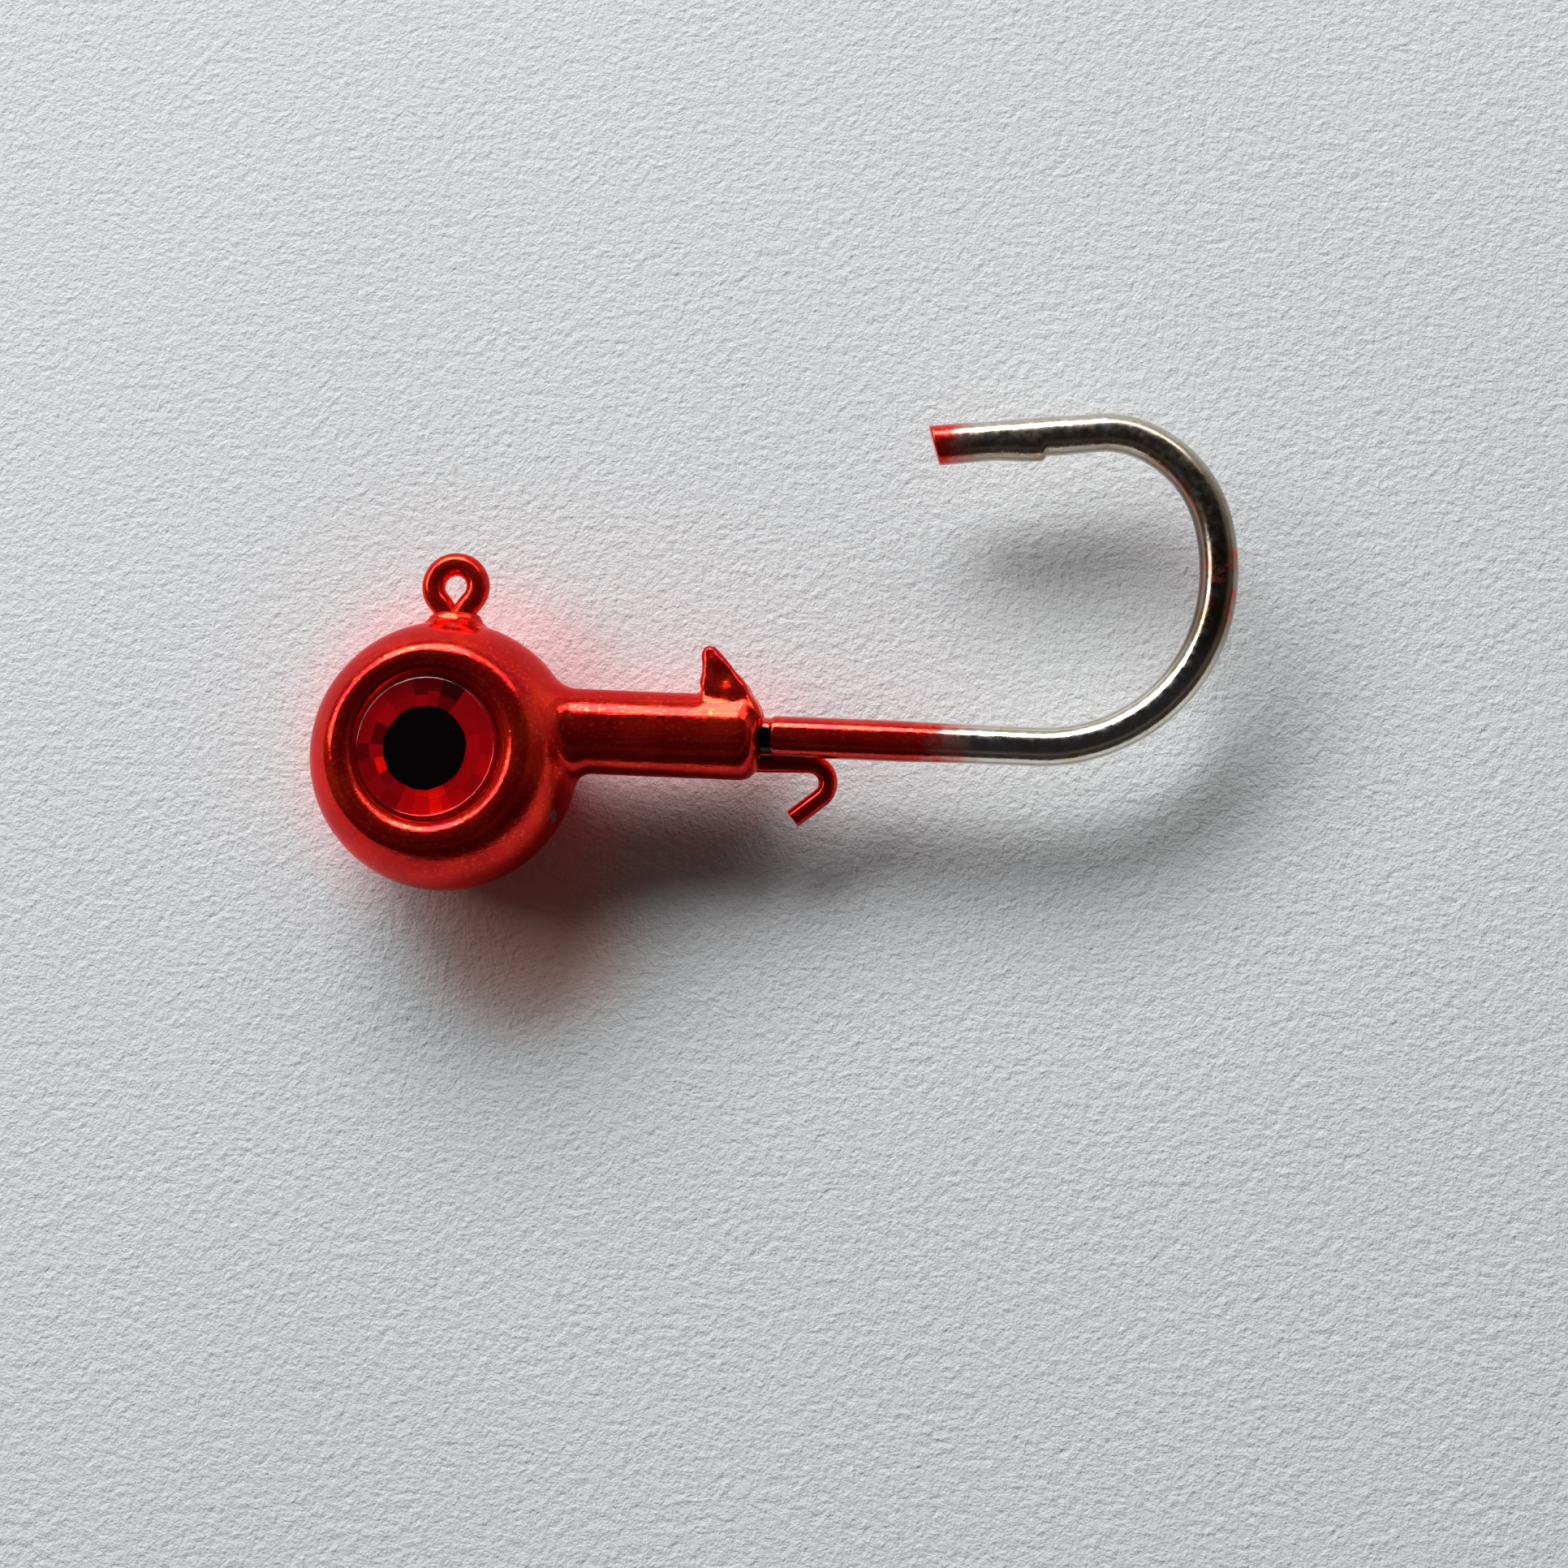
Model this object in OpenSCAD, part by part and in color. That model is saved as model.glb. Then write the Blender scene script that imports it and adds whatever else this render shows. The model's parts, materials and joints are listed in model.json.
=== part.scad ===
// Ball-headed fishing jig: a lead head cast round a heavy hook and a thin wire form,
// with an eye set into each side. The jig lies on its side: the plane of the hook is
// level, the head rests on the rim of its lower eye socket, and the origin is the centre
// of that rim. +X runs from the head to the bend of the hook, +Y towards the line tie and
// the hook's point, and +Z is up.

/* [Head] */
// Diameter of the ball
ball_d = 9.95; // [9.8:0.05:10.4]
// Radius of the rounded lip round each eye socket
lip_r = 1.05; // [0.9:0.05:1.2]
// Outer radius of the flat land on the lip
land_outer_r = 3.5; // [3.4:0.05:3.55]
// Inner radius of the flat land on the lip
land_inner_r = 3.05; // [3.0:0.05:3.15]
// Radius of each eye socket
socket_r = 2.75; // [2.7:0.05:2.85]
// Depth of each eye socket below the land
socket_depth = 0.75; // [0.7:0.05:0.8]
// Depth of the bevel between the land and the socket wall
bevel_depth = 0.3; // [0.2:0.05:0.4]

/* [Collar] */
// Diameter of the bait collar
collar_d = 3.1; // [3.0:0.02:3.3]
// Distance from the ball's centre to the collar's free end
collar_end = 11.7; // [11.5:0.1:12.4]
// Radius of the rounded edge at the collar's free end
collar_round = 0.65; // [0.4:0.05:0.8]
// How far the collar's axis runs below the shank's
collar_drop = 0.11; // [0:0.01:0.12]
// Radius of the fillet between the ball and the collar
flare_r = 0.6; // [0.4:0.05:0.8]
// Height of the barb's tip above the ball's centre
barb_tip_y = 3.98; // [3.9:0.02:4.3]
// Thickness of the barb at the collar
barb_base_w = 1.5; // [1.2:0.1:1.8]
// Thickness of the barb at its tip
barb_tip_w = 0.5; // [0.4:0.05:0.8]

/* [Hook] */
// Diameter of the hook's wire
hook_d = 1.42; // [1.38:0.02:1.48]
// Height of the shank's axis above the ball's centre, level with that centre
shank_y = 1.215; // [1.1:0.005:1.25]
// Slope of the shank, in degrees
shank_slope = -2.05; // [-3:0.05:-1]
// Where the shank ends and the bend begins
bend_start = 21.5; // [20:0.05:24]
// Radii of the four arcs of the bend
bend_radii = [6.2, 7.4, 4.4, 3.3];
// Heading of the wire at the end of each arc of the bend, in degrees
bend_headings = [77, 104, 156, 184];
// Length of the straight wire from the bend to the cut tip
point_run = 5.95; // [5:0.05:8]
// Slant of the cut across the tip, in degrees
tip_slant = 12; // [0:1:25]

/* [Hook eye, inside the head] */
// Wire diameter of the closed eye
inner_eye_wire = 1.34; // [1.3:0.02:1.36]
// Radius of the closed eye's centreline
inner_eye_r = 1.2; // [1.16:0.02:1.24]

/* [Wire form] */
// Where the line tie stands along the head
tie_x = 0.155; // [0.1:0.005:0.2]
// Height of the line tie's centre above the ball's centre
tie_y = 6.3; // [6.2:0.02:6.4]
// Outer diameter of the line tie's ring
ring_outer_d = 2.54; // [2.5:0.02:2.6]
// Wire diameter of the ring
ring_wire = 0.79; // [0.76:0.01:0.81]
// Diameter of the hole through the ring
ring_hole_d = 1.04; // [1.0:0.02:1.1]
// Wire diameter below the ring
form_wire = 0.7; // [0.66:0.02:0.74]
// Radius of the bend between the wire's leg and its run
form_bend_r = 1; // [0.9:0.05:1.1]
// Height of the run relative to the ball's centre, where the keeper begins to turn
run_y = -0.105; // [-0.15:0.005:-0.08]
// Slope of the run, in degrees
run_slope = 0; // [-0.2:0.1:0.2]
// Angle by which the run slants down from the plane of the hook
run_tilt = 3.6; // [3.5:0.1:4]
// Where the keeper begins to turn down
keeper_x = 13.33; // [13:0.01:14]
// Radius of the keeper's turn
keeper_r = 0.7; // [0.6:0.02:0.9]
// Angle through which the keeper turns
keeper_turn = 144; // [120:1:160]
// Length of the keeper's free leg
keeper_leg = 1.2; // [0.8:0.05:2]

/* [Eyes] */
// Radius of the eye
eye_r = 2.5; // [2.3:0.05:2.6]
// Radius of the adhesive pad
pad_r = 2.35; // [2.1:0.05:2.4]
// Thickness of the adhesive pad
pad_t = 0.1; // [0.06:0.01:0.12]
// Thickness of the prismatic foil
foil_t = 0.14; // [0.1:0.01:0.16]
// Radius of the pupil
pupil_r = 1.5; // [1.3:0.05:1.7]
// Thickness of the pupil's ink
pupil_t = 0.05; // [0.03:0.01:0.06]
// Thickness of the clear cover
cover_t = 0.3; // [0.2:0.02:0.34]

/* [Hidden] */
$fn = 96;

ball_r = ball_d / 2;
hook_r = hook_d / 2;
collar_r = collar_d / 2;

// The lip's arc touches the ball's outline from inside, so that the two run on smoothly
lip_z = sqrt(pow(ball_r - lip_r, 2) - pow(land_outer_r, 2));
half_thickness = lip_z + lip_r;

// The fillet is cut a hair into the ball, so that the surfaces cross and don't just touch
flare_bite = 0.03;
flare_cut_r = collar_r + flare_r;
flare_x = sqrt(pow(ball_r + flare_r - flare_bite, 2) - pow(flare_cut_r, 2));
// The fillet's axis goes from the ball's centre to the collar's axis at the fillet's end
flare_angle = atan2(shank_y - collar_drop + flare_x * tan(shank_slope), flare_x);

// Root boss of the line tie, from inside the ball to a little above its surface
boss_r = 0.72;
boss_bottom = 4.4;
boss_top = 5.1;

// Shape of the barb: its front edge leans back a little, and its back comes down to the
// collar's free end in short facets, given as offsets from that end and heights
barb_front = collar_end - 2.24;
barb_lean = 0.1;
barb_tip_round = 0.25;
barb_shoulder = [0.19, 0.17];
barb_back = [[-1.37, 3.4], [-0.95, 2.85], [-0.49, 2.15], [-0.03, 1.5]];
barb_foot_y = 2.3;
barb_foot_r = 0.3;
barb_root_y = 1;

// Bump of the pressed-down barb on the inner side of the point: steep towards the bend,
// long and low towards the tip
nub_from_tip = 3.85;
nub_height = 0.24;
nub_shoulder = 0.19;
nub_bury = 0.3;
nub_w = 0.8;
nub_steps = [0.5, 0.25, -0.25, -0.75];

// Narrow gap where the line tie's ring closes on itself
seam_gap = 0.07;
seam_angle = -58;

// A bead a hair wider than the wire makes neighbouring stretches of it one solid
bead = 0.02;

eye_floor = half_thickness - socket_depth;

// The wire form, in its own plane, measured from the leg's axis
ring_r = (ring_outer_d - ring_wire) / 2;
leg_top = tie_y - ring_r;
run_end = [keeper_x - tie_x, run_y];
run_length = (run_end[0] - form_bend_r * (1 + sin(run_slope))) / cos(run_slope);
run_start = run_end - run_length * [cos(run_slope), sin(run_slope)];
leg_bottom = run_start - form_bend_r * [1 + sin(run_slope), -cos(run_slope)];

// Points and headings along the hook: the shank's start, then the end of each bend arc
function turn_end(p, r, from, to) = p + r * [sin(to) - sin(from), cos(from) - cos(to)];
function heading(i) = i == 0 ? shank_slope : bend_headings[i - 1];
function knot(i) = i == 0
    ? [bend_start, shank_y + bend_start * tan(shank_slope)]
    : turn_end(knot(i - 1), bend_radii[i - 1], heading(i - 1), heading(i));
last_arc = len(bend_radii);

// Straight wire of a given length from a point in the XY plane
module straight_wire(start, angle, length, d) {
    translate([start[0], start[1], 0])
        rotate([0, 90, angle])
            cylinder(d = d, h = length);
}

// Left-hand bend in the XY plane, from one heading to another
module bent_wire(start, from, to, r, d) {
    translate([start[0] - r * sin(from), start[1] + r * cos(from), 0])
        rotate([0, 0, from - 90])
            rotate_extrude(angle = to - from)
                translate([r, 0])
                    circle(d = d);
}

// Everything is drawn about the ball's centre and lifted on to the lower socket's rim
module at_rest() {
    translate([0, 0, half_thickness])
        children();
}

// Joins two stretches of wire that meet at a point
module wire_bead(at, d) {
    translate([at[0], at[1], 0])
        sphere(d = d + bead);
}

module half_outline() {
    intersection() {
        circle(r = ball_r);
        polygon([
            [0, 0],
            [2 * land_outer_r, -2 * lip_z],
            [2 * land_outer_r, 2 * lip_z]
        ]);
    }
    for (side = [-1, 1])
        translate([land_outer_r, side * lip_z])
            circle(r = lip_r);
    translate([0, -half_thickness])
        square([land_outer_r, 2 * half_thickness]);
}

module socket_outline() {
    above = half_thickness + 1;
    polygon([
        [0, eye_floor],
        [socket_r, eye_floor],
        [socket_r, half_thickness - bevel_depth],
        [land_inner_r, half_thickness],
        [land_inner_r, above],
        [0, above]
    ]);
}

module ball() {
    rotate_extrude(convexity = 6)
        difference() {
            intersection() {
                half_outline();
                translate([0, -ball_r])
                    square([ball_r, ball_d]);
            }
            socket_outline();
            mirror([0, 1])
                socket_outline();
        }
}

module flare() {
    rotate([0, 90, flare_angle])
        rotate_extrude(convexity = 4)
            difference() {
                polygon([
                    [0, ball_r / 2],
                    [flare_cut_r / 2, flare_x / 2],
                    [flare_cut_r, flare_x],
                    [0, flare_x]
                ]);
                translate([flare_cut_r, flare_x])
                    circle(r = flare_r);
            }
}

module collar() {
    root = ball_r / 2;
    translate([0, shank_y - collar_drop, 0])
        rotate([0, 90, shank_slope])
            rotate_extrude(convexity = 4) {
                translate([0, root])
                    square([collar_r, collar_end - collar_round - root]);
                translate([0, root])
                    square([collar_r - collar_round, collar_end - root]);
                translate([collar_r - collar_round, collar_end - collar_round])
                    circle(r = collar_round);
            }
}

module barb_outline() {
    tip = [barb_front + barb_lean + barb_tip_round, barb_tip_y - barb_tip_round];
    difference() {
        polygon(concat(
            [
                [barb_front - barb_foot_r, barb_root_y],
                [barb_front - barb_foot_r, barb_foot_y],
                [barb_front, barb_foot_y],
                [barb_front + barb_lean, tip[1]],
                tip,
                tip + barb_shoulder
            ],
            [for (p = barb_back) [collar_end + p[0], p[1]]],
            [[collar_end - collar_round / 2, barb_root_y]]
        ));
        translate([barb_front - barb_foot_r, barb_foot_y + barb_foot_r])
            circle(r = barb_foot_r);
    }
    translate(tip)
        circle(r = barb_tip_round);
}

module barb() {
    reach = collar_end - barb_front + barb_foot_r;
    intersection() {
        linear_extrude(height = 2 * barb_base_w, center = true)
            barb_outline();
        translate([barb_front - barb_foot_r, 0, 0])
            rotate([90, 0, 90])
                linear_extrude(height = reach)
                    polygon([
                        [barb_root_y, -barb_base_w / 2],
                        [barb_root_y, barb_base_w / 2],
                        [barb_tip_y, barb_tip_w / 2],
                        [barb_tip_y, -barb_tip_w / 2]
                    ]);
    }
}

module tie_boss() {
    translate([tie_x, boss_bottom, 0])
        rotate([-90, 0, 0])
            cylinder(r = boss_r, h = boss_top - boss_bottom);
}

module head_casting() {
    color("firebrick")
        at_rest()
            difference() {
                union() {
                    ball();
                    flare();
                    collar();
                    barb();
                    tie_boss();
                }
                hook_in_lead();
                leg_and_run();
            }
}

// The closed eye stands square to the hook's plane, as on any ringed hook
module inner_eye() {
    translate([tie_x, shank_y + tie_x * tan(shank_slope), 0])
        rotate([0, 0, shank_slope])
            rotate([90, 0, 0])
                rotate_extrude()
                    translate([inner_eye_r, 0])
                        circle(d = inner_eye_wire);
}

module shank() {
    start = tie_x + inner_eye_r * cos(shank_slope);
    straight_wire(
        [start, shank_y + start * tan(shank_slope)],
        shank_slope,
        (bend_start - start) / cos(shank_slope),
        hook_d
    );
}

module hook_in_lead() {
    inner_eye();
    shank();
}

module point_wire() {
    end_heading = heading(last_arc);
    difference() {
        straight_wire(knot(last_arc), end_heading, point_run + hook_d, hook_d);
        translate(knot(last_arc))
            rotate([0, 0, end_heading])
                translate([point_run, 0, 0])
                    rotate([0, 0, tip_slant])
                        translate([0, -hook_d, -hook_d])
                            cube([3 * hook_d, 2 * hook_d, 2 * hook_d]);
    }
}

module pressed_barb() {
    translate(knot(last_arc))
        rotate([0, 0, heading(last_arc)])
            translate([point_run - nub_from_tip, hook_r, 0])
                linear_extrude(height = nub_w, center = true)
                    polygon([
                        [nub_steps[0], -nub_bury],
                        [nub_steps[1], 0],
                        [0, nub_height],
                        [nub_steps[2], nub_shoulder],
                        [nub_steps[3], -nub_bury]
                    ]);
}

module jig_hook() {
    color("gainsboro")
        at_rest() {
            hook_in_lead();
            for (i = [0 : last_arc - 1])
                bent_wire(knot(i), heading(i), heading(i + 1), bend_radii[i], hook_d);
            for (i = [0 : last_arc])
                wire_bead(knot(i), hook_d);
            point_wire();
            pressed_barb();
        }
}

module tie_ring() {
    translate([tie_x, tie_y, 0])
        difference() {
            rotate_extrude()
                translate([ring_r, 0])
                    circle(d = ring_wire);
            translate([0, 0, -ring_wire])
                cylinder(d = ring_hole_d, h = 2 * ring_wire);
            rotate([0, 0, seam_angle])
                translate([ring_r - ring_wire, -seam_gap / 2, -ring_wire])
                    cube([2 * ring_wire, seam_gap, 2 * ring_wire]);
        }
}

// The wire below the ring lies in a plane of its own, slanted about the leg's axis
module form_plane() {
    translate([tie_x, 0, 0])
        rotate([0, run_tilt, 0])
            children();
}

module leg_and_run() {
    form_plane() {
        straight_wire([0, leg_top], -90, leg_top - leg_bottom[1], form_wire);
        bent_wire(leg_bottom, -90, run_slope, form_bend_r, form_wire);
        straight_wire(run_start, run_slope, run_length, form_wire);
        wire_bead(leg_bottom, form_wire);
        wire_bead(run_start, form_wire);
    }
}

module keeper() {
    leg_angle = run_slope - keeper_turn;
    turn_centre = run_end + keeper_r * [sin(run_slope), -cos(run_slope)];
    leg_start = turn_centre + keeper_r * [-sin(leg_angle), cos(leg_angle)];
    form_plane() {
        translate([turn_centre[0], turn_centre[1], 0])
            rotate([0, 0, 90 + leg_angle])
                rotate_extrude(angle = keeper_turn)
                    translate([keeper_r, 0])
                        circle(d = form_wire);
        straight_wire(leg_start, leg_angle, keeper_leg, form_wire);
        wire_bead(run_end, form_wire);
        wire_bead(leg_start, form_wire);
    }
}

module tie_and_keeper_wire() {
    color("indianred")
        at_rest() {
            tie_ring();
            leg_and_run();
            keeper();
        }
}

// Places an eye's layer on the near side (1) or the far side (-1), at a height above the
// socket's floor
module eye_layer(side, height) {
    at_rest()
        rotate([side > 0 ? 0 : 180, 0, 0])
            translate([0, 0, eye_floor + height])
                children();
}

module eye_adhesive(side) {
    color("ivory")
        eye_layer(side, 0)
            cylinder(r = pad_r, h = pad_t);
}

module eye_foil(side) {
    color("darkred")
        eye_layer(side, pad_t)
            cylinder(r = eye_r, h = foil_t);
}

module eye_pupil(side) {
    color("black")
        eye_layer(side, pad_t + foil_t)
            cylinder(r = pupil_r, h = pupil_t);
}

module eye_cover(side) {
    edge_r = cover_t / 2;
    color("crimson", 0.4)
        eye_layer(side, pad_t + foil_t)
            rotate_extrude()
                difference() {
                    union() {
                        square([eye_r, cover_t - edge_r]);
                        square([eye_r - edge_r, cover_t]);
                        translate([eye_r - edge_r, cover_t - edge_r])
                            circle(r = edge_r);
                    }
                    square([pupil_r, pupil_t]);
                }
}

head_casting();
jig_hook();
tie_and_keeper_wire();
eye_adhesive(1);  // near_eye_adhesive
eye_foil(1);  // near_eye_foil
eye_pupil(1);  // near_eye_pupil
eye_cover(1);  // near_eye_cover
eye_adhesive(-1);  // far_eye_adhesive
eye_foil(-1);  // far_eye_foil
eye_pupil(-1);  // far_eye_pupil
eye_cover(-1);  // far_eye_cover
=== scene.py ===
"""A ball-headed fishing jig in candy-red lacquer, lying on white paper.

Everything is in the CAD frame. Shapes are worked out in millimetres about the centre of the
ball, in the plane of the hook, and placed() turns them into metres in the frame.
"""

import json
import math

import bpy
import numpy as np
from mathutils import Matrix, Vector


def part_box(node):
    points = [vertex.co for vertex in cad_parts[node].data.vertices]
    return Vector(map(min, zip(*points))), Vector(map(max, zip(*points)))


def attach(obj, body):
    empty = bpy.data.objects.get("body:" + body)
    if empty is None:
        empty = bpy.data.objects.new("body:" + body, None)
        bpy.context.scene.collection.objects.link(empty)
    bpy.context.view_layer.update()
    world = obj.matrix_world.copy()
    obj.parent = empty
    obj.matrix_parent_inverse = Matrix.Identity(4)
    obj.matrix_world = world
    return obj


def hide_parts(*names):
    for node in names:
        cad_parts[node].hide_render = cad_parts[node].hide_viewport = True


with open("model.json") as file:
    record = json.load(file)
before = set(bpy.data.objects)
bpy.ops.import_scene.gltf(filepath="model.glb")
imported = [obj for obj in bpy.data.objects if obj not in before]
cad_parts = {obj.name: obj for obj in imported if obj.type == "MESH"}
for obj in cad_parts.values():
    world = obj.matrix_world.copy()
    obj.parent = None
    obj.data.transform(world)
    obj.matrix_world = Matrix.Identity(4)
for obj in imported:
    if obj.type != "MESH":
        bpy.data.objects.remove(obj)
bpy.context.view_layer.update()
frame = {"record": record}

MM = 0.001
BODY = "root"


# ------------------------------------------------------------------ measures from the frame

def cad_box(node):
    """Lowest and highest corner of a CAD node, in millimetres."""
    low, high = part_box(node)
    return np.array(low) / MM, np.array(high) / MM


def cad_mount(name):
    """Position of one of the record's mounts, in millimetres."""
    found = [m for m in frame["record"]["mounts"] if m["name"] == name]
    return np.array(found[0]["pos_m"]) / MM


HEAD_LOW, HEAD_HIGH = cad_box("head_casting")
FORM_HIGH = cad_box("tie_and_keeper_wire")[1]
PAD_LOW, PAD_HIGH = cad_box("near_eye_adhesive")
FOIL_LOW, FOIL_HIGH = cad_box("near_eye_foil")
PUPIL_HIGH = cad_box("near_eye_pupil")[1]
COVER_HIGH = cad_box("near_eye_cover")[1]
TIE = cad_mount("line_tie")

HALF = HEAD_HIGH[2] / 2          # from the paper to the plane of the hook
BALL_R = -HEAD_LOW[0]
TIE_OUTER = FORM_HIGH[1] - TIE[1]

# The near eye's radii, and its heights above the plane of the hook
PAD_R = PAD_HIGH[0]
EYE_R = FOIL_HIGH[0]
PUPIL_R = PUPIL_HIGH[0]
EYE_FLOOR = PAD_LOW[2] - HALF
FOIL_BASE = FOIL_LOW[2] - HALF
FOIL_TOP = FOIL_HIGH[2] - HALF
COVER_TOP = COVER_HIGH[2] - HALF


# ------------------------------------------------------------------ shapes of the real object

# Ball. It is a little flattened, and its rims are rounded crests that meet it at a slant
BALL_SIDE = BALL_R - 0.02
BALL_THICK = 4.0                 # half its thickness, if the rims didn't cut it off
CREST_Z = HALF - 0.014
MEET = math.radians(38.7)        # where a crest leaves the ball
MEET_R = BALL_SIDE * math.cos(MEET)
MEET_Z = BALL_THICK * math.sin(MEET)
MEET_TILT = math.atan2(math.cos(MEET) / BALL_SIDE, math.sin(MEET) / BALL_THICK)
CREST_CURVE = (CREST_Z - MEET_Z) / (1 - math.cos(MEET_TILT))
CREST_R = MEET_R - CREST_CURVE * math.sin(MEET_TILT)
SOCKET_R = 2.66
SOCKET_AT = (-0.04, 0.04)
SOCKET_BEVEL = 0.40
SOCKET_EDGE = 0.26               # how softly the socket meets the crest

# Collar, with a clearance round the shank in its end
COLLAR_R = 1.55
COLLAR_END = 11.62
COLLAR_ROUND = 0.78
COLLAR_DROP = 0.11               # its axis lies this far below the shank's
COLLAR_BLEND = 0.5
MOUTH_GAP = 0.10
MOUTH_DEEP = 0.5
MOUTH_EDGE = 0.10

# Bait barb: outline, and half its thickness at two heights
BARB = [(9.35, 0.9), (9.46, 2.3), (9.45, 3.72), (9.54, 3.95), (9.76, 4.03), (9.99, 3.96),
        (10.60, 3.22), (11.13, 2.58), (11.52, 1.87), (11.70, 1.40), (11.5, 0.9)]
BARB_BASE_Y = 1.6
BARB_TIP_Y = 4.0
BARB_BASE_W = 1.15
BARB_TIP_W = 0.90
BARB_EDGE = 0.24
BARB_LUMPS = 0.06
BARB_BLEND = 0.28

# Neck of lead at the foot of the line tie
NECK_HALF = 0.95
NECK_DEEP = 0.62
NECK_BASE = 3.5                  # inside the ball
NECK_TOP = 5.27
NECK_EDGE = 0.14
NECK_LUMPS = 0.03
NECK_BLEND = 0.34

# Marks of the mould
SEAM_PROUD = 0.014
SEAM_WIDE = 0.05
SEAM_Z = 0.02
CAST_WAVES = 0.006
HEAD_STEP = 0.075                # grid of the head's mesh

# Hook: straight shank, a bend of four arcs by radius and last heading, and a straight point
SHANK_Y = 1.215
SHANK_SLOPE = math.radians(-2.05)
SHANK_R = 0.71
BEND_START = 21.5
BEND_RADII = [6.2, 7.4, 4.4, 3.3]
BEND_HEADINGS = [77, 104, 156, 184]
BEND_THINNER = 0.025
POINT_RUN = 5.95
TIP_SLANT = math.radians(12)
TIP_CUT = 0.9                    # length of wire that the slanting cut leans
NUB_PROUD = 0.16                 # what is left of the hook's own barb
NUB_END = 3.97                   # from the tip
NOTCH_DEEP = 0.03
SHANK_LACQUER = 0.03             # thickness of lacquer
TIP_LACQUER = 0.015
CREVICE_DEEP = 0.08              # at the collar's end
HOOK_STEP = 0.09
HOOK_SIDES = 48
HOOK_EYE_R = 1.2
HOOK_EYE_WIRE = 0.67
HOOK_EYE_GAP = math.radians(14)

# Wire form: the line tie's ring, a leg through the ball, a run through the collar, the keeper
RING_WIRE = 0.43
RING_R = TIE_OUTER - RING_WIRE
RING_OPEN = math.radians(38)     # from straight down to where each strand leaves the circle
RIGHT_FOOT = (0.16, 5.0, 0.06)   # where the strands enter the neck, sideways from the ring's axis
LEFT_FOOT = (-0.14, 5.0, -0.06)
FORM_WIRE = 0.35
FORM_BEND = 1.0
RUN_Y = -0.105
RUN_TILT = math.radians(3.6)
KEEPER_X = 13.33
KEEPER_R = 0.7
KEEPER_TURN = math.radians(144)
KEEPER_LEG = 1.2

# Eyes. Each facet of the foil, clockwise from twelve o'clock: where it ends in degrees, its painted
# reflection brightness next to the pupil and at the rim, and how far those two halves lean to the
# window
FACETS = [
    (14, 0.25, 0.10, 0.00, -0.04), (34, 0.12, 0.02, -0.08, -0.08), (52, 0.30, 0.30, 0.00, 0.00),
    (76, 0.34, 0.30, 0.02, 0.00), (98, 0.46, 0.36, 0.04, 0.03), (118, 0.42, 0.50, 0.03, 0.05),
    (138, 0.42, 0.34, 0.00, 0.00), (154, 0.40, 0.46, 0.02, 0.04), (162, 0.80, 0.60, 0.16, 0.10),
    (174, 1.00, 0.90, 0.24, 0.20), (190, 0.75, 0.62, 0.12, 0.09), (204, 0.50, 0.50, 0.05, 0.03),
    (222, 0.30, 0.24, -0.05, -0.05), (238, 0.22, 0.30, -0.06, 0.00), (257, 1.00, 0.25, 0.24, -0.04),
    (272, 0.35, 0.12, 0.02, -0.08), (296, 0.10, 0.30, -0.08, 0.00), (318, 0.40, 0.34, 0.00, 0.02),
    (346, 0.28, 0.22, 0.00, -0.03), (360, 0.34, 0.10, 0.00, -0.06),
]
FACET_Z = FOIL_TOP - 0.062
FACET_RISE = 0.045
FACET_RISE_STEEP = 0.06          # for facets that lean by STEEP or more
STEEP = 0.2
FAR_FOIL_TURN = 77               # degrees that the far foil is turned by
EYE_AT = np.array([-0.12, 0.03])
EYE_SHOWN = EYE_R + 0.01
FOIL_CORE = 0.45 * EYE_SHOWN
COVER_RIM = 0.11                 # radius of the cover's rounded edge
COVER_CROWN = 0.07


def smooth(edge0, edge1, x):
    """0 below edge0, 1 above edge1, and a smooth step between."""
    t = np.clip((x - edge0) / (edge1 - edge0), 0, 1)
    return t * t * (3 - 2 * t)


def placed(points):
    """Points about the ball's centre, in millimetres, as metres in the frame."""
    return (np.asarray(points, float) + (0, 0, HALF)) * MM


def make_mesh(name, points, faces, material, replaces, flat=False):
    """A piece in the frame that rides on the part's only body."""
    mesh = bpy.data.meshes.new(name)
    mesh.from_pydata(placed(points).tolist(), [], [list(map(int, f)) for f in faces])
    mesh.validate()
    mesh.polygons.foreach_set("use_smooth", [not flat] * len(mesh.polygons))
    mesh.materials.append(material)
    piece = bpy.data.objects.new(name, mesh)
    bpy.context.scene.collection.objects.link(piece)
    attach(piece, BODY)
    if replaces:
        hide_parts(*replaces)
    return piece


# ------------------------------------------------------------------ distance fields

def smooth_min(a, b, k):
    h = np.clip(0.5 + 0.5 * (b - a) / k, 0, 1)
    return b + (a - b) * h - k * h * (1 - h)


def smooth_max(a, b, k):
    return -smooth_min(-a, -b, k)


def rounded(out, up, radius):
    """Distance to a corner where two distances meet, rounded by a radius."""
    a = out + radius
    b = up + radius
    return np.hypot(np.maximum(a, 0), np.maximum(b, 0)) + np.minimum(np.maximum(a, b), 0) - radius


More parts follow.
